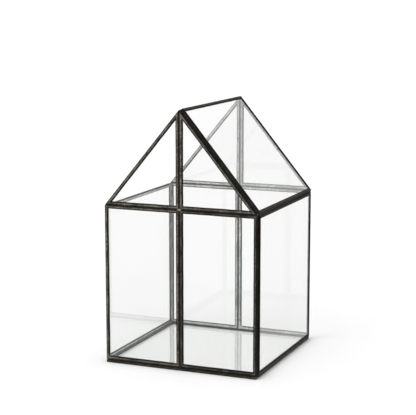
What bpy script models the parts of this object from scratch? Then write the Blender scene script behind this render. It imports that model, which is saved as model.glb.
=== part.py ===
"""A house-shaped glass cloche: framed glass panes soldered into a house, with a hinged lid on one roof slope.

Metres, +Z up. The origin is under the middle of the house, where it stands.
-Y is the front gable. The lid covers the +X slope, and the -X slope is open.
"""

import math

import bmesh
import bpy
from mathutils import Matrix, Vector

# The house
WIDTH = 0.150
DEPTH = 0.1515
EAVE = 0.150
RIDGE = 0.2405

# A pane in its came, which is a channel of thin sheet folded round the glass
CAME = 0.0030
LIP = 0.0033
SHEET = 0.0004
GLASS = 0.0020
PLAY = 0.0001
FOLD = 0.00035
FOLD_SEGMENTS = 2

# How the framed panes meet
SEAM = 0.0002
WALL_PROUD = 0.0013
WALL_TOP_DROP = 0.0005

# The lid, which lies on the rakes flush with the front and overhangs the eave
LID_LIFT = 0.0004
LID_OVERHANG = 0.0008
LID_HEAD_GAP = 0.0010

# The hinge: a wire strung between the gables' peaks, through two knuckles under the lid's head
AXIS_DROP = 0.0012
KNUCKLE_RADIUS = 0.0009
BORE_RADIUS = 0.0005
WIRE_RADIUS = 0.0004
KNUCKLE_LENGTH = 0.0060
KNUCKLE_Y = 0.060
LEAF_GAP = 0.00015
LEAF_THICKNESS = 0.0004
LEAF_WIDTH = 0.0018
ROUND_SIDES = 24

# What follows from them
HALF_WIDTH = WIDTH / 2
HALF_DEPTH = DEPTH / 2
RISE = RIDGE - EAVE
SLOPE = math.hypot(HALF_WIDTH, RISE)
PANE_BETWEEN_GABLES = DEPTH - 2 * (CAME + SEAM)
FOOT = CAME + SEAM
HINGE_AXIS = Vector((0, 0, RIDGE - AXIS_DROP))

parts = bpy.data.collections.new("glass_cloche")
cutters = bpy.data.collections.new("cutters")


def clear_scene():
    for obj in list(bpy.data.objects):
        bpy.data.objects.remove(obj)
    bpy.context.scene.collection.children.link(parts)
    bpy.context.scene.collection.children.link(cutters)


def make_material(name, colour, roughness, metallic, transmission=0.0):
    material = bpy.data.materials.new(name)
    material.use_nodes = True
    shader = material.node_tree.nodes["Principled BSDF"]
    shader.inputs["Base Color"].default_value = (*colour, 1)
    shader.inputs["Roughness"].default_value = roughness
    shader.inputs["Metallic"].default_value = metallic
    shader.inputs["Transmission Weight"].default_value = transmission
    material.diffuse_color = (*colour, 1 - 0.7 * transmission)
    return material


def inset(outline, distance):
    """A convex outline, counter-clockwise, with every side moved in by this much."""
    lines = []
    for start, end in zip(outline, outline[1:] + outline[:1]):
        along = (Vector(end) - Vector(start)).normalized()
        inward = Vector((-along.y, along.x))
        lines.append((Vector(start) + distance * inward, along))
    corners = []
    for (a, along_a), (b, along_b) in zip(lines[-1:] + lines[:-1], lines):
        step = (b - a).cross(along_b) / along_a.cross(along_b)
        corners.append(tuple(a + step * along_a))
    return corners


def plate(name, loops, thickness, frame, collection):
    """A flat plate with one or more outlines in its own XY plane, as a welded mesh object."""
    curve = bpy.data.curves.new(name, "CURVE")
    curve.dimensions = "2D"
    curve.fill_mode = "BOTH"
    curve.extrude = thickness / 2
    for loop in loops:
        spline = curve.splines.new("POLY")
        spline.points.add(len(loop) - 1)
        for point, (x, y) in zip(spline.points, loop):
            point.co = (x, y, 0, 1)
        spline.use_cyclic_u = True
    guide = bpy.data.objects.new(name + "_guide", curve)
    bpy.context.scene.collection.objects.link(guide)
    bpy.context.view_layer.update()
    mesh = bpy.data.meshes.new_from_object(guide.evaluated_get(bpy.context.evaluated_depsgraph_get()))
    bpy.data.objects.remove(guide)
    welded = bmesh.new()
    welded.from_mesh(mesh)
    bmesh.ops.remove_doubles(welded, verts=welded.verts, dist=1e-6)
    bmesh.ops.dissolve_limit(
        welded, angle_limit=math.radians(1), verts=welded.verts, edges=welded.edges
    )
    bmesh.ops.recalc_face_normals(welded, faces=welded.faces)
    welded.to_mesh(mesh)
    welded.free()
    obj = bpy.data.objects.new(name, mesh)
    obj.matrix_world = frame
    collection.objects.link(obj)
    return obj


def hide(cutter):
    cutter.hide_render = True
    cutter.display_type = "WIRE"


def cut(obj, cutter, name):
    hide(cutter)
    modifier = obj.modifiers.new(name, "BOOLEAN")
    modifier.operation = "DIFFERENCE"
    modifier.solver = "EXACT"
    modifier.object = cutter


def plane_frame(centre, across, up):
    """A matrix whose XY plane lies in a pane, X across it and Y up it."""
    across = Vector(across).normalized()
    up = Vector(up).normalized()
    out = across.cross(up)
    frame = Matrix((across, up, out)).transposed().to_4x4()
    frame.translation = centre
    return frame


def framed_pane(name, outline, frame, parent=None):
    """A pane of glass and the came folded round its edge, as two solids."""
    came = plate(name + "_came", [outline, inset(outline, LIP)], CAME, frame, parts)
    came.data.materials.append(came_metal)
    fold = came.modifiers.new("folded_edges", "BEVEL")
    fold.width = FOLD
    fold.segments = FOLD_SEGMENTS
    fold.limit_method = "ANGLE"
    groove = plate(
        name + "_groove", [inset(outline, SHEET)], GLASS + 2 * PLAY, frame, cutters
    )
    cut(came, groove, "groove")
    glass = plate(
        name + "_glass", [inset(outline, SHEET + PLAY)], GLASS, frame, parts
    )
    glass.data.materials.append(pane_glass)
    if parent:
        for obj in (came, groove, glass):
            obj.parent = parent
            obj.matrix_parent_inverse = parent.matrix_world.inverted()


def rectangle(low_x, low_y, high_x, high_y):
    return [(low_x, low_y), (high_x, low_y), (high_x, high_y), (low_x, high_y)]


def build_base():
    outline = rectangle(-HALF_WIDTH, -HALF_DEPTH, HALF_WIDTH, HALF_DEPTH)
    framed_pane("base", outline, plane_frame((0, 0, CAME / 2), (1, 0, 0), (0, 1, 0)))


def build_gable_wall(end, y):
    """One end of the house: two upright panes below the eave and two triangles above it."""
    frame = plane_frame((0, y, 0), (1, 0, 0), (0, 0, 1))
    middle = SEAM / 2
    lower = rectangle(middle, FOOT, HALF_WIDTH, EAVE - SEAM / 2)
    foot = EAVE + SEAM / 2
    steepness = RISE / HALF_WIDTH
    upper = [
        (middle, foot),
        (HALF_WIDTH - SEAM / 2 / steepness, foot),
        (middle, RIDGE - middle * steepness),
    ]
    for side, mirror in (("right", 1), ("left", -1)):
        for level, outline in (("lower", lower), ("gable", upper)):
            corners = [(mirror * x, z) for x, z in outline][::mirror]
            framed_pane(f"{end}_{side}_{level}", corners, frame)


def build_side_wall(side, sign):
    """A wall between the two gable ends, standing a little proud of them."""
    x = sign * (HALF_WIDTH + WALL_PROUD - CAME / 2)
    half = PANE_BETWEEN_GABLES / 2
    outline = rectangle(-half, FOOT, half, EAVE - WALL_TOP_DROP)
    framed_pane(f"{side}_wall", outline, plane_frame((x, 0, 0), (0, 1, 0), (0, 0, 1)))


def slope_frame(lift):
    """A plane over the lid's slope, its origin at the eave, X along the eave and Y up the slope."""
    up = Vector((-HALF_WIDTH, 0, RISE)).normalized()
    along = Vector((0, 1, 0))
    out = along.cross(up)
    eave = Vector((HALF_WIDTH, 0, EAVE))
    return plane_frame(eave + lift * out, along, up)


def build_lid(hinge):
    """The roof pane that opens, as long as the walls, lying on the rakes flush with the front."""
    back = PANE_BETWEEN_GABLES - HALF_DEPTH
    outline = rectangle(-HALF_DEPTH, -LID_OVERHANG, back, SLOPE - LID_HEAD_GAP)
    framed_pane("lid", outline, slope_frame(LID_LIFT + CAME / 2), hinge)


def cylinder(name, radius, length, centre, collection):
    """A solid bar along Y."""
    shape = bmesh.new()
    turn = Matrix.Rotation(math.pi / 2, 4, "X")
    bmesh.ops.create_cone(
        shape, cap_ends=True, segments=ROUND_SIDES, radius1=radius, radius2=radius,
        depth=length, matrix=turn,
    )
    mesh = bpy.data.meshes.new(name)
    shape.to_mesh(mesh)
    shape.free()
    mesh.shade_smooth()
    mesh.set_sharp_from_angle(angle=math.radians(40))
    obj = bpy.data.objects.new(name, mesh)
    obj.location = centre
    collection.objects.link(obj)
    return obj


def leaf(name, frame, head, high):
    """The flat tab that is soldered under the lid's head: head and high are where its edge and its top are."""
    shape = bmesh.new()
    bmesh.ops.create_cube(shape, size=1)
    size = Vector((KNUCKLE_LENGTH, LEAF_WIDTH, LEAF_THICKNESS))
    middle = Vector((0, head - LEAF_WIDTH / 2, high - LEAF_THICKNESS / 2))
    bmesh.ops.scale(shape, vec=size, verts=shape.verts)
    bmesh.ops.translate(shape, vec=middle, verts=shape.verts)
    mesh = bpy.data.meshes.new(name)
    shape.to_mesh(mesh)
    shape.free()
    obj = bpy.data.objects.new(name, mesh)
    obj.matrix_world = frame
    cutters.objects.link(obj)
    hide(obj)
    return obj


def knuckle(name, y, lid):
    """A short tube on the hinge's axis, with its soldering tab."""
    centre = HINGE_AXIS + Vector((0, y, 0))
    tube = cylinder(name, KNUCKLE_RADIUS, KNUCKLE_LENGTH, centre, parts)
    tube.data.materials.append(hinge_metal)
    slope = slope_frame(0)
    axis_up_slope = (slope.inverted() @ HINGE_AXIS).y
    placed = Matrix.Translation((0, y, 0)) @ slope
    tab = leaf(name + "_leaf", placed, axis_up_slope, LID_LIFT - LEAF_GAP)
    join = tube.modifiers.new("leaf", "BOOLEAN")
    join.operation = "UNION"
    join.solver = "EXACT"
    join.object = tab
    bore = cylinder(name + "_bore", BORE_RADIUS, 2 * KNUCKLE_LENGTH, centre, cutters)
    cut(tube, bore, "bore")
    for obj in (tube, tab, bore):
        obj.parent = lid
        obj.matrix_parent_inverse = lid.matrix_world.inverted()


def build_hinge(lid):
    wire = cylinder("ridge_hinge_wire", WIRE_RADIUS, PANE_BETWEEN_GABLES, HINGE_AXIS, parts)
    wire.data.materials.append(hinge_metal)
    knuckle("front_hinge_lid_knuckle", -KNUCKLE_Y, lid)
    knuckle("rear_hinge_lid_knuckle", KNUCKLE_Y, lid)


clear_scene()
came_metal = make_material("black_patina", (0.045, 0.042, 0.038), 0.45, 0.85)
pane_glass = make_material("clear_glass", (0.93, 0.97, 0.95), 0.02, 0.0, 1.0)
hinge_metal = make_material("hinge_wire", (0.07, 0.065, 0.06), 0.4, 0.9)

lid_hinge = bpy.data.objects.new("lid_hinge", None)
lid_hinge.location = HINGE_AXIS
parts.objects.link(lid_hinge)
bpy.context.view_layer.update()

build_base()
build_gable_wall("front", -HALF_DEPTH + CAME / 2)
build_gable_wall("rear", HALF_DEPTH - CAME / 2)
build_side_wall("left", -1)
build_side_wall("right", 1)
build_lid(lid_hinge)
build_hinge(lid_hinge)
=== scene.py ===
"""Looks for the house-shaped glass cloche: patinated came, bare tin inside, solder, glass and soft light."""

import math

import bmesh
import bpy
from mathutils import Matrix, Vector, noise


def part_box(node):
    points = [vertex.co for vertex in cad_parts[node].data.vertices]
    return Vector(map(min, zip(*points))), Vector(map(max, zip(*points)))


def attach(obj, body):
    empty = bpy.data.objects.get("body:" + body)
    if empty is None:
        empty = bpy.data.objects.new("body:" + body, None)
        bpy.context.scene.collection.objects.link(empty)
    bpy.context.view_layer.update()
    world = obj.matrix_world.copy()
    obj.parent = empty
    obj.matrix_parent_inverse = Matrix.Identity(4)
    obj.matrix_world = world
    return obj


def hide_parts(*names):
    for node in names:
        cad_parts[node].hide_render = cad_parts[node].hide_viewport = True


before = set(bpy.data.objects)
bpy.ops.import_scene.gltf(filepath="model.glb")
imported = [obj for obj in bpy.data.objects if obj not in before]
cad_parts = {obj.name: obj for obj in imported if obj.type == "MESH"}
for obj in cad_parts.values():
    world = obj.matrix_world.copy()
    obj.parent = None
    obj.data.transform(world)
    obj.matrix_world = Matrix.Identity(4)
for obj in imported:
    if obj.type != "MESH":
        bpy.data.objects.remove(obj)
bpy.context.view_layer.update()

# Camera and light, in metres and degrees
CAMERA_AZIMUTH = 22.475
CAMERA_ELEVATION = 9.65
CAMERA_DISTANCE = 1.255
CAMERA_LENS = 113.94
SENSOR = 36.0
TARGET_SIDE = -0.0029
TARGET_HEIGHT = 0.1403

FLOOR_HALF = 80.0
FLOOR_WHITE = 0.84
BACKDROP = 1.005
STUDIO_DIM = 0.74
STUDIO_BRIGHT = 1.30
STUDIO_BRIGHTEST_AT = (240, 20)

# A came's section, in metres. Half of it, from the middle of the web round the flange to the glass:
# (inward from the pane's edge, out from the pane's middle, how much of the crown's wear it takes)
HALF_SECTION = (
    (0.00000, 0.00060, 0.25),
    (0.00004, 0.00095, 0.10),
    (0.00016, 0.00122, 0.00),
    (0.00042, 0.00140, 0.10),
    (0.00080, 0.00153, 0.20),
    (0.00125, 0.00161, 0.65),
    (0.00165, 0.00164, 1.00),
    (0.00205, 0.00161, 0.65),
    (0.00250, 0.00152, 0.20),
    (0.00290, 0.00138, 0.03),
    (0.00318, 0.00120, 0.00),
    (0.00330, 0.00108, 0.00),
    (0.00322, 0.00103, 0.00),
    (0.00180, 0.00103, 0.00),
    (0.00045, 0.00103, 0.00),
    (0.00040, 0.00050, 0.00),
)
OUTER_FACE_POINTS = 12
STEP = 0.0022
CORNER_STEPS = (0.0003, 0.0007, 0.0013, 0.0021)
CORNER_ROUND = 0.0009
HALF_CAME = 0.0015
WEB_DEPTH = 0.0005
FLANGE_WIDTH = 0.0033

# Handwork: how far the folds, swells and crowns wander, and how near a corner they change
CORNER_REACH = 0.004
CORNER_SHARE = 0.55
CORNER_SWELL = 0.00012
EDGE_WAVE = 0.00012
EDGE_DRIFT = 0.00008
CROWN_WAVE = 0.00007
CROWN_GRAIN = 0.00004
WAVES_PER_METRE = 110
DRIFTS_PER_METRE = 28
GRAINS_PER_METRE = 420

# How much rubbed colour each frame's outer side takes, by the start of its name: frames facing the lamps
# take more and the right wall and lid less, which is painted light and shade on top of real rubbing
RUBBED_AND_LIT_SIDE = {
    "front_right_lower": 0.45,
    "front": 1.0,
    "rear": 0.8,
    "base": 0.8,
    "left": 0.6,
    "right": 0.2,
    "lid": 0.3,
}

# Solder: a low bead along a seam, half its width, and how far it stands out of the seam
BEAD_HALF_WIDTH = 0.00040
BEAD_HEIGHT = 0.00008
BEAD_DEPTH = 0.00030
BEAD_SIDES = 12
STEP_FILL = 0.0003
BEAD_STEP = 0.0012
SEAM_END = 0.0025
CROSSING_REACH = 0.0022
CROSSING_HALF_WIDTH = 0.0012
CROSSING_HEIGHT = 0.00045
MITRE_OUTER = 0.0008
MITRE_INNER = 0.0028
WIRE_BLOB = 0.0008


def mesh_object(name, vertices, faces, materials):
    mesh = bpy.data.meshes.new(name)
    mesh.from_pydata(vertices, [], faces)
    for material in materials:
        mesh.materials.append(material)
    mesh.shade_smooth()
    obj = bpy.data.objects.new(name, mesh)
    bpy.context.scene.collection.objects.link(obj)
    return obj


def node_tree(name):
    material = bpy.data.materials.new(name)
    material.use_nodes = True
    tree = material.node_tree
    return material, tree, tree.nodes["Principled BSDF"]


def add_node(tree, kind, **values):
    node = tree.nodes.new(kind)
    for key, value in values.items():
        if key in node.inputs:
            node.inputs[key].default_value = value
        else:
            setattr(node, key, value)
    return node


def add_noise(tree, scale, detail, roughness):
    node = add_node(tree, "ShaderNodeTexNoise", Scale=scale, Detail=detail, Roughness=roughness)
    tree.links.new(coordinates(tree), node.inputs["Vector"])
    return node.outputs["Fac"]


def coordinates(tree):
    node = tree.nodes.get("Texture Coordinate") or tree.nodes.new("ShaderNodeTexCoord")
    return node.outputs["Object"]


def ramp(tree, factor, stops):
    node = tree.nodes.new("ShaderNodeValToRGB")
    elements = node.color_ramp.elements
    while len(elements) < len(stops):
        elements.new(0.5)
    for element, (place, colour) in zip(elements, stops):
        element.position = place
        element.color = (*colour, 1) if isinstance(colour, tuple) else (colour, colour, colour, 1)
    tree.links.new(factor, node.inputs["Fac"])
    return node.outputs["Color"]


def maths(tree, operation, a, b=None, clamp=False):
    node = add_node(tree, "ShaderNodeMath", operation=operation, use_clamp=clamp)
    for socket, value in zip(node.inputs, (a, b)):
        if isinstance(value, (int, float)):
            socket.default_value = value
        elif value is not None:
            tree.links.new(value, socket)
    return node.outputs[0]


def mix_colour(tree, factor, a, b):
    node = add_node(tree, "ShaderNodeMix", data_type="RGBA")
    for socket, value in ((node.inputs[0], factor), (node.inputs[6], a), (node.inputs[7], b)):
        if isinstance(value, tuple):
            socket.default_value = (*value, 1)
        elif isinstance(value, (int, float)):
            socket.default_value = value
        else:
            tree.links.new(value, socket)
    return node.outputs[2]


def bump(tree, shader, height, strength, distance):
    node = add_node(tree, "ShaderNodeBump", Strength=strength, Distance=distance)
    tree.links.new(height, node.inputs["Height"])
    tree.links.new(node.outputs["Normal"], shader.inputs["Normal"])


def vary_roughness(tree, shader, factor, low, high):
    node = add_node(tree, "ShaderNodeMapRange")
    tree.links.new(factor, node.inputs["Value"])
    node.inputs["To Min"].default_value = low
    node.inputs["To Max"].default_value = high
    tree.links.new(node.outputs["Result"], shader.inputs["Roughness"])


def wear_and_lit_side_attribute(tree):
    node = add_node(tree, "ShaderNodeAttribute", attribute_name="wear")
    return node.outputs["Fac"]


def patina_material():
    """Black patina on solder and tin: powdery in the hollows, rubbed to brownish grey on the crowns, with
    more of the rubbed colour on frames that face the lamps as painted light and shade.
    """
    material, tree, shader = node_tree("black_patina")
    blotches = add_noise(tree, 130.0, 4.0, 0.6)
    specks = add_noise(tree, 900.0, 3.0, 0.65)
    base = ramp(tree, blotches, [
        (0.3, (0.0025, 0.0023, 0.002)),
        (0.55, (0.005, 0.0046, 0.004)),
        (0.8, (0.012, 0.0105, 0.009)),
    ])
    # The wear attribute holds the crowns' real rubbing; on the cames' outer faces it is also scaled by which
    # way each frame faces, which is painted light and shade.
    speckled_wear_and_lit_side = maths(tree, "MULTIPLY", wear_and_lit_side_attribute(tree), ramp(tree, specks, [(0.35, 0.35), (0.60, 1.0)]))
    wear_and_lit_side_mask = maths(tree, "MULTIPLY", speckled_wear_and_lit_side, ramp(tree, blotches, [(0.3, 0.5), (0.6, 1.0)]))
    rubbed = ramp(tree, specks, [(0.3, (0.11, 0.096, 0.080)), (0.7, (0.48, 0.43, 0.36))])
    tree.links.new(mix_colour(tree, wear_and_lit_side_mask, base, rubbed), shader.inputs["Base Color"])
    tree.links.new(maths(tree, "MULTIPLY", wear_and_lit_side_mask, 0.55), shader.inputs["Metallic"])
    vary_roughness(tree, shader, blotches, 0.38, 0.62)
    shader.inputs["Specular IOR Level"].default_value = 0.04
    height = maths(tree, "ADD", specks, maths(tree, "MULTIPLY", blotches, 2.0))
    bump(tree, shader, height, 0.35, 0.00015)
    return material


def tin_material():
    """Bare solder-tinned strip inside the house: silver grey, streaked and a little green-grey."""
    material, tree, shader = node_tree("bare_tin")
    broad = add_noise(tree, 45.0, 3.0, 0.5)
    fine = add_noise(tree, 420.0, 4.0, 0.65)
    colour = ramp(tree, maths(tree, "MULTIPLY", fine, 0.5), [
        (0.12, (0.16, 0.165, 0.16)),
        (0.25, (0.62, 0.63, 0.61)),
        (0.38, (0.93, 0.94, 0.92)),
    ])
    dullness = ramp(tree, broad, [(0.42, 0.0), (0.7, 0.6)])
    dulled = mix_colour(tree, dullness, colour, (0.20, 0.205, 0.20))
    # Darker where the wear value is low: inside the channel against the glass, at the web's corner and at
    # the lip's tip.
    edges = ramp(tree, wear_and_lit_side_attribute(tree), [(0.02, 1.0), (0.38, 0.0)])
    darker_at_low_wear = mix_colour(tree, edges, dulled, (0.060, 0.062, 0.059))
    tree.links.new(darker_at_low_wear, shader.inputs["Base Color"])
    shader.inputs["Metallic"].default_value = 1.0
    vary_roughness(tree, shader, fine, 0.28, 0.5)
    bump(tree, shader, fine, 0.3, 0.00015)
    return material


def glass_material():
    """Clear sheet glass. Lamps and light from dull surfaces pass straight through it."""
    material, tree, shader = node_tree("clear_glass")
    ripple = add_noise(tree, 14.0, 1.0, 0.4)
    tint = ramp(tree, ripple, [(0.2, (0.950, 0.954, 0.950)), (0.8, (0.958, 0.961, 0.957))])
    tree.links.new(tint, shader.inputs["Base Color"])
    shader.inputs["Roughness"].default_value = 0.0
    shader.inputs["IOR"].default_value = 1.5
    shader.inputs["Transmission Weight"].default_value = 1.0
    bump(tree, shader, ripple, 0.03, 0.002)
    clear = add_node(tree, "ShaderNodeBsdfTransparent", Color=(0.988, 0.990, 0.988, 1))
    paths = tree.nodes.new("ShaderNodeLightPath")
    surface = shader.outputs[0]
    for kind in ("Is Diffuse Ray", "Is Shadow Ray"):
        mix = tree.nodes.new("ShaderNodeMixShader")
        tree.links.new(paths.outputs[kind], mix.inputs[0])
        tree.links.new(surface, mix.inputs[1])
        tree.links.new(clear.outputs[0], mix.inputs[2])
        surface = mix.outputs[0]
    tree.links.new(surface, tree.nodes["Material Output"].inputs["Surface"])
    return material


def hinge_material():
    """Blackened wire and tube, rubbed grey where the knuckles turn."""
    material, tree, shader = node_tree("hinge_wire")
    rubs = add_noise(tree, 500.0, 3.0, 0.6)
    colour = ramp(tree, rubs, [(0.3, (0.02, 0.018, 0.016)), (0.65, (0.13, 0.12, 0.11))])
    tree.links.new(colour, shader.inputs["Base Color"])
    shader.inputs["Metallic"].default_value = 0.8
    tree.links.new(ramp(tree, rubs, [(0.3, 0.55), (0.7, 0.35)]), shader.inputs["Roughness"])
    bump(tree, shader, rubs, 0.3, 0.0001)
    return material


def inset(outline, distance):
    """A convex outline, counter-clockwise, with every side moved in by this much."""
    lines = []
    for start, end in zip(outline, outline[1:] + outline[:1]):
        along = (Vector(end) - Vector(start)).normalized()
        lines.append((Vector(start) + distance * Vector((-along.y, along.x)), along))
    corners = []
    for (a, along_a), (b, along_b) in zip(lines[-1:] + lines[:-1], lines):
        step = (b - a).cross(along_b) / along_a.cross(along_b)
        corners.append(a + step * along_a)
    return corners


def pane_frame(centre, across, up):
    """A matrix whose XY plane lies in a pane. Its Z points out of the house."""
    across = Vector(across).normalized()
    up = Vector(up).normalized()
    out = across.cross(up)
    matrix = Matrix((across, up, out)).transposed().to_4x4()
    matrix.translation = centre
    return matrix


def side_rings(length):
    """Distances along one side of a pane at which the came gets a ring of points."""
    inner = list(CORNER_STEPS)
    count = max(2, round((length - 2 * inner[-1]) / STEP))
    run = [inner[-1] + (length - 2 * inner[-1]) * i / count for i in range(1, count)]
    return [0.0] + inner + run + [length - d for d in reversed(inner)]


def full_section():
    """The whole section as (inward, out, wear), out being below zero on the inner side, from the outer lip's
    underside round the web.
    """
    outer = list(reversed(HALF_SECTION))
    middle = (0.0, 0.0, 0.3)
    inner = [(u, -w, wear) for u, w, wear in HALF_SECTION]
    return outer + [middle] + inner


SECTION = full_section()
# Faces between section points: from the lip's edge over the crown and round the web they are patina.
PATINA_FIRST = len(HALF_SECTION) - OUTER_FACE_POINTS
PATINA_LAST = len(HALF_SECTION) + 4
INNER_FIRST = PATINA_LAST


def finish_metal(piece, wears, body):
    """Store each point's wear, which on the cames' outer faces also carries painted light and shade, turn
    the faces outwards, and let the piece ride on its body.
    """
    attribute = piece.data.attributes.new("wear", "FLOAT", "POINT")
    attribute.data.foreach_set("value", wears)
    piece.data.update()
    fix = bmesh.new()
    fix.from_mesh(piece.data)
    bmesh.ops.recalc_face_normals(fix, faces=fix.faces)
    fix.to_mesh(piece.data)
    fix.free()
    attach(piece, body)


def build_came(name, outline, matrix, body, seed, rubbed, flat_below=None):
    """A strip of channel folded round a pane, mitred at its corners, a little uneven as handwork is."""
    outline = [Vector(p) for p in outline]
    count = len(outline)
    rings = []
    for i in range(count):
        start, end = outline[i], outline[(i + 1) % count]
        length = (end - start).length
        for d in side_rings(length):
            rings.append((i, d, length))
    corner_sets = [inset(outline, u) for u, _, _ in SECTION]
    vertices, wears = [], []
    for i, d, length in rings:
        t = d / length
        corner = min(d, length - d)
        along = (outline[(i + 1) % count] - outline[i]).normalized()
        inward = Vector((-along.y, along.x))
        for k, (u, w, wear) in enumerate(SECTION):
            flat = corner_sets[k][i].lerp(corner_sets[k][(i + 1) % count], t)
            place = Vector((flat.x, flat.y, 0))
            sample = place * WAVES_PER_METRE + Vector((seed * 7.3, 0, w * 60))
            wave = noise.noise(sample)
            slow = noise.noise(Vector((flat.x * DRIFTS_PER_METRE + seed, flat.y * DRIFTS_PER_METRE, 3.1)))
            grain_depth = seed * 2.7 + w * 90
            grain_place = Vector((flat.x * GRAINS_PER_METRE, flat.y * GRAINS_PER_METRE, grain_depth))
            fine = noise.noise(grain_place)
            if u > WEB_DEPTH:
                edge = min(1, u / FLANGE_WIDTH)
                lateral = EDGE_WAVE * edge * wave + EDGE_DRIFT * edge * slow
                place += lateral * Vector((inward.x, inward.y, 0))
                w += math.copysign((CROWN_WAVE * wave + CROWN_GRAIN * fine) * wear, w)
            elif corner < CORNER_ROUND:
                pull = CORNER_ROUND - math.sqrt(CORNER_ROUND ** 2 - (CORNER_ROUND - corner) ** 2)
                pull *= CORNER_SHARE * (1 - u / WEB_DEPTH)
                place += pull * Vector((inward.x, inward.y, 0))
            near = max(0.0, 1 - corner / CORNER_REACH)
            place.z = w + math.copysign(CORNER_SWELL * near * wear, w) * (0.4 + wave)
            world = matrix @ place
            if flat_below is not None:
                world.z = max(world.z, flat_below)
            vertices.append(world)
            bared = min(1.0, wear * (0.75 + 0.5 * wave) + 0.35 * near * max(0.0, wave + 0.2))
            # Outer points scale their wear by the frame's share from the rubbing table, painted light and
            # shade by which way the frame faces; inner points keep their own wear.
            wears.append(bared if k > INNER_FIRST else rubbed * bared)
    ring_size = len(SECTION)
    faces, slots = [], []
    for r in range(len(rings)):
        nxt = (r + 1) % len(rings)
        for k in range(ring_size):
            k2 = (k + 1) % ring_size
            faces.append((r * ring_size + k, nxt * ring_size + k, nxt * ring_size + k2, r * ring_size + k2))
            slots.append(0 if PATINA_FIRST <= k < PATINA_LAST else 1)
    came = mesh_object(name, vertices, faces, (patina, tin))
    came.data.polygons.foreach_set("material_index", slots)
    finish_metal(came, wears, body)
    return came


def rectangle_of(lo, hi, across, up):
    """The outline of an upright or flat pane's came, in its own plane, from the came's box."""
    ends = [sorted((Vector(across).dot(lo), Vector(across).dot(hi)))]
    ends.append(sorted((Vector(up).dot(lo), Vector(up).dot(hi))))
    (x0, x1), (y0, y1) = ends
    return [(x0, y0), (x1, y0), (x1, y1), (x0, y1)]


def triangle_of(lo, hi, across, up):
    """The outline of a gable pane's came: its right angle stands at the middle of the house."""
    (x0, y0), (x1, _), (_, y1), _ = rectangle_of(lo, hi, across, up)
    if abs(x0) < abs(x1):
        return [(x0, y0), (x1, y0), (x0, y1)]
    return [(x0, y0), (x1, y0), (x1, y1)]


def plane_of(lo, hi, across, up):
    """A pane's frame from its came's box: the house's own origin, moved out to the pane's middle."""
    out = Vector(across).cross(Vector(up)).normalized()
    middle = (lo + hi) / 2
    return pane_frame(out * middle.dot(out), across, up)


def roof_plane(node):
    """The lid's frame and outline, from its came's box and the gable's steepness."""
    lo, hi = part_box(node)
    gable_lo, gable_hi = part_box("front_right_gable_came")
    angle = math.atan2(gable_hi.z - gable_lo.z, gable_hi.x - gable_lo.x)
    thickness = 2 * HALF_CAME
    length = ((hi.x - lo.x) - thickness * math.sin(angle)) / math.cos(angle)
    up = Vector((-math.cos(angle), 0, math.sin(angle)))
    centre = Vector(((lo.x + hi.x) / 2, 0, (lo.z + hi.z) / 2))
    matrix = pane_frame(centre, (0, 1, 0), up)
    outline = [(lo.y, -length / 2), (hi.y, -length / 2), (hi.y, length / 2), (lo.y, length / 2)]
    return matrix, outline


def rubbed_and_lit_side_of(node):
    """How much rubbed colour a frame takes, with painted light and shade by which way it faces, by the first
    name in the rubbing table that its node's name starts with.
    """
    return next(amount for start, amount in RUBBED_AND_LIT_SIDE.items() if node.startswith(start))


def build_cames():
    views = {
        "front": ((1, 0, 0), (0, 0, 1)),
        "rear": ((-1, 0, 0), (0, 0, 1)),
        "right": ((0, 1, 0), (0, 0, 1)),
        "left": ((0, -1, 0), (0, 0, 1)),
        "base": ((1, 0, 0), (0, -1, 0)),
    }
    names = sorted(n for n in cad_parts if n.endswith("_came"))
    for seed, node in enumerate(names):
        lo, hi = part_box(node)
        body = "lid" if node.startswith("lid") else "house"
        if body == "lid":
            matrix, outline = roof_plane(node)
        else:
            across, up = views[node.split("_")[0]]
            shape = triangle_of if "gable" in node else rectangle_of
            outline = shape(lo, hi, across, up)
            matrix = plane_of(lo, hi, across, up)
        floor = 0.0 if node == "base_came" else None
        name = node.replace("_came", "_channel")
        piece = build_came(name, outline, matrix, body, seed, rubbed_and_lit_side_of(node), floor)
        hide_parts(node)


def build_bead(name, start, end, out, body, seed, bared=0.05, half_width=BEAD_HALF_WIDTH, height=BEAD_HEIGHT,
               depth=BEAD_DEPTH):
    """A lumpy bead of solder along a straight seam, tapered at both ends."""
    along = (end - start).normalized()
    across = out.cross(along)
    length = (end - start).length
    count = max(6, round(length / BEAD_STEP))
    vertices, wears, faces = [], [], []
    for i in range(count + 1):
        middle = start.lerp(end, i / count)
        taper = math.sqrt(max(0.0, min(1.0, min(i, count - i) / 2.5)))
        lump = 1 + 0.35 * noise.noise(middle * 260 + Vector((seed, 0, 0)))
        size = max(0.12, taper) * lump
        for side in range(BEAD_SIDES):
            angle = 2 * math.pi * side / BEAD_SIDES
            rise = math.sin(angle)
            lift = rise * (height if rise > 0 else depth)
            vertices.append(middle + size * (half_width * math.cos(angle) * across + lift * out))
            wears.append(max(0.0, rise) * bared * lump)
    for i in range(count):
        for side in range(BEAD_SIDES):
            ahead = (side + 1) % BEAD_SIDES
            low, high = i * BEAD_SIDES, (i + 1) * BEAD_SIDES
            faces.append((low + side, low + ahead, high + ahead, high + side))
    faces.append(tuple(reversed(range(BEAD_SIDES))))
    faces.append(tuple(range(count * BEAD_SIDES, (count + 1) * BEAD_SIDES)))
    bead = mesh_object(name, vertices, faces, (patina,))
    finish_metal(bead, wears, body)


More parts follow.
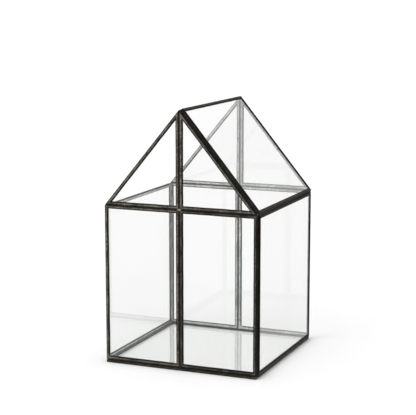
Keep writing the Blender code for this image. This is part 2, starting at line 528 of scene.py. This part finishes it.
def solder_gable(end, sign, seams):
    """The post, eave and foot seams outside one gable end, and the blob where the first two cross."""
    out = Vector((0, sign, 0))
    face = seams["half_depth"] * sign
    side = seams["half_width"] - SEAM_END
    post_foot = Vector((0, face, seams["foot"]))
    post_top = Vector((0, face, seams["peak"] - 2 * SEAM_END))
    build_bead(f"{end}_post_solder", post_foot, post_top, out, "house", 1)
    for level in ("eave", "foot"):
        ends = [Vector((x, face, seams[level])) for x in (-side, side)]
        build_bead(f"{end}_{level}_solder", *ends, out, "house", 2)
    crossing = [Vector((x, face, seams["eave"])) for x in (-CROSSING_REACH, CROSSING_REACH)]
    build_bead(f"{end}_crossing_solder", *crossing, out, "house", 3, bared=1.0,
               half_width=CROSSING_HALF_WIDTH, height=CROSSING_HEIGHT)


def solder_side(side, sign, seams):
    """The corner and foot seams of one side wall, which stands proud of the gable ends."""
    out = Vector((sign, 0, 0))
    face = sign * (seams["half_width"] + STEP_FILL)
    for end, towards in (("front", -1), ("rear", 1)):
        y = towards * seams["wall_end"]
        low = Vector((face, y, seams["foot"]))
        high = Vector((face, y, seams["eave"] - SEAM_END))
        build_bead(f"{side}_{end}_corner_solder", low, high, out, "house", 4 + towards, bared=0.15)
    run = seams["wall_end"] - SEAM_END
    ends = [Vector((face, y, seams["foot"])) for y in (-run, run)]
    build_bead(f"{side}_foot_solder", *ends, out, "house", 7, bared=0.2)


def solder_lid():
    """A short bead along each mitre of the lid's frame, on its outer face."""
    matrix, outline = roof_plane("lid_came")
    outer = [Vector((x, y, HALF_CAME)) for x, y in inset(outline, MITRE_OUTER)]
    inner = [Vector((x, y, HALF_CAME)) for x, y in inset(outline, MITRE_INNER)]
    out = matrix.to_3x3() @ Vector((0, 0, 1))
    for i, (a, b) in enumerate(zip(outer, inner)):
        build_bead(f"lid_corner_solder_{i + 1}", matrix @ a, matrix @ b, out, "lid", 9 + i, bared=0.25)


def solder_wire(seams):
    """A blob at each end of the hinge wire, holding it to the gable's peak."""
    lo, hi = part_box("ridge_hinge_wire")
    middle = (lo + hi) / 2
    up = Vector((0, 0, 1))
    for end, sign in (("front", -1), ("rear", 1)):
        near = Vector((middle.x, sign * (hi.y - 2 * WIRE_BLOB), middle.z))
        far = Vector((middle.x, sign * seams["gable_inside"], middle.z))
        build_bead(f"{end}_wire_solder", near, far, up, "house", 20, bared=0.4,
                   half_width=WIRE_BLOB, height=WIRE_BLOB, depth=WIRE_BLOB)


def build_solder():
    base_lo, base_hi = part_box("base_came")
    lower_lo, lower_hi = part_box("front_right_lower_came")
    gable_lo, gable_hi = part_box("front_right_gable_came")
    wall_lo, wall_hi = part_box("right_wall_came")
    seams = {
        "foot": (base_hi.z + lower_lo.z) / 2,
        "eave": (lower_hi.z + gable_lo.z) / 2,
        "peak": gable_hi.z,
        "half_width": lower_hi.x,
        "half_depth": -lower_lo.y,
        "gable_inside": -lower_hi.y,
        "wall_end": (wall_hi.y - lower_hi.y) / 2,
    }
    solder_gable("front", -1, seams)
    solder_gable("rear", 1, seams)
    solder_side("left", -1, seams)
    solder_side("right", 1, seams)
    solder_lid()
    solder_wire(seams)


def dress_cad_nodes():
    for name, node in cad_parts.items():
        material = clear_glass if name.endswith("_glass") else blackened_wire
        if node.data.materials:
            node.data.materials[0] = material
        else:
            node.data.materials.append(material)


def look_direction(azimuth, elevation):
    a, e = math.radians(azimuth), math.radians(elevation)
    return Vector((math.sin(a) * math.cos(e), -math.cos(a) * math.cos(e), math.sin(e)))


def set_camera():
    back = look_direction(CAMERA_AZIMUTH, CAMERA_ELEVATION)
    a = math.radians(CAMERA_AZIMUTH)
    right = Vector((math.cos(a), math.sin(a), 0))
    target = right * TARGET_SIDE + Vector((0, 0, TARGET_HEIGHT))
    data = bpy.data.cameras.new("camera")
    data.lens = CAMERA_LENS
    data.sensor_width = SENSOR
    camera = bpy.data.objects.new("camera", data)
    camera.location = target + CAMERA_DISTANCE * back
    camera.rotation_euler = back.to_track_quat("Z", "Y").to_euler()
    bpy.context.scene.collection.objects.link(camera)
    bpy.context.scene.camera = camera


def add_sun(name, azimuth, elevation, strength, softness):
    data = bpy.data.lights.new(name, "SUN")
    data.energy = strength
    data.angle = math.radians(softness)
    sun = bpy.data.objects.new(name, data)
    sun.rotation_euler = look_direction(azimuth, elevation).to_track_quat("Z", "Y").to_euler()
    bpy.context.scene.collection.objects.link(sun)


def add_floor():
    bpy.ops.mesh.primitive_plane_add(size=2 * FLOOR_HALF)
    floor = bpy.context.object
    floor.name = "floor"
    material, _, shader = node_tree("white_floor")
    shader.inputs["Base Color"].default_value = (FLOOR_WHITE, FLOOR_WHITE, FLOOR_WHITE, 1)
    shader.inputs["Roughness"].default_value = 1.0
    shader.inputs["Specular IOR Level"].default_value = 0.0
    floor.data.materials.append(material)
    floor.visible_glossy = False


def add_world():
    """White behind everything seen straight or through glass, and a studio for what shines or lights.

    The studio is brightest behind the house on the left.
    """
    world = bpy.data.worlds.new("studio")
    world.use_nodes = True
    bpy.context.scene.world = world
    tree = world.node_tree
    white = tree.nodes["Background"]
    white.inputs["Color"].default_value = (1, 1, 1, 1)
    white.inputs["Strength"].default_value = BACKDROP
    towards = look_direction(*STUDIO_BRIGHTEST_AT)
    facing = add_node(tree, "ShaderNodeVectorMath", operation="DOT_PRODUCT")
    place = tree.nodes.new("ShaderNodeTexCoord")
    tree.links.new(place.outputs["Generated"], facing.inputs[0])
    facing.inputs[1].default_value = towards
    spread = add_node(tree, "ShaderNodeMapRange")
    tree.links.new(facing.outputs["Value"], spread.inputs["Value"])
    spread.inputs["From Min"].default_value = -1.0
    spread.inputs["To Min"].default_value = STUDIO_DIM
    spread.inputs["To Max"].default_value = STUDIO_BRIGHT
    studio = tree.nodes.new("ShaderNodeBackground")
    tree.links.new(spread.outputs["Result"], studio.inputs["Strength"])
    paths = tree.nodes.new("ShaderNodeLightPath")
    bounced = maths(tree, "ADD", paths.outputs["Diffuse Depth"], paths.outputs["Glossy Depth"], clamp=True)
    mix = tree.nodes.new("ShaderNodeMixShader")
    tree.links.new(bounced, mix.inputs[0])
    tree.links.new(white.outputs[0], mix.inputs[1])
    tree.links.new(studio.outputs[0], mix.inputs[2])
    tree.links.new(mix.outputs[0], tree.nodes["World Output"].inputs["Surface"])


bpy.context.scene.view_settings.view_transform = "Standard"
patina = patina_material()
tin = tin_material()
clear_glass = glass_material()
blackened_wire = hinge_material()
dress_cad_nodes()
build_cames()
build_solder()
add_floor()
add_world()
add_sun("key", azimuth=-25, elevation=45, strength=1.0, softness=45)
add_sun("top", azimuth=20, elevation=75, strength=0.5, softness=40)
set_camera()
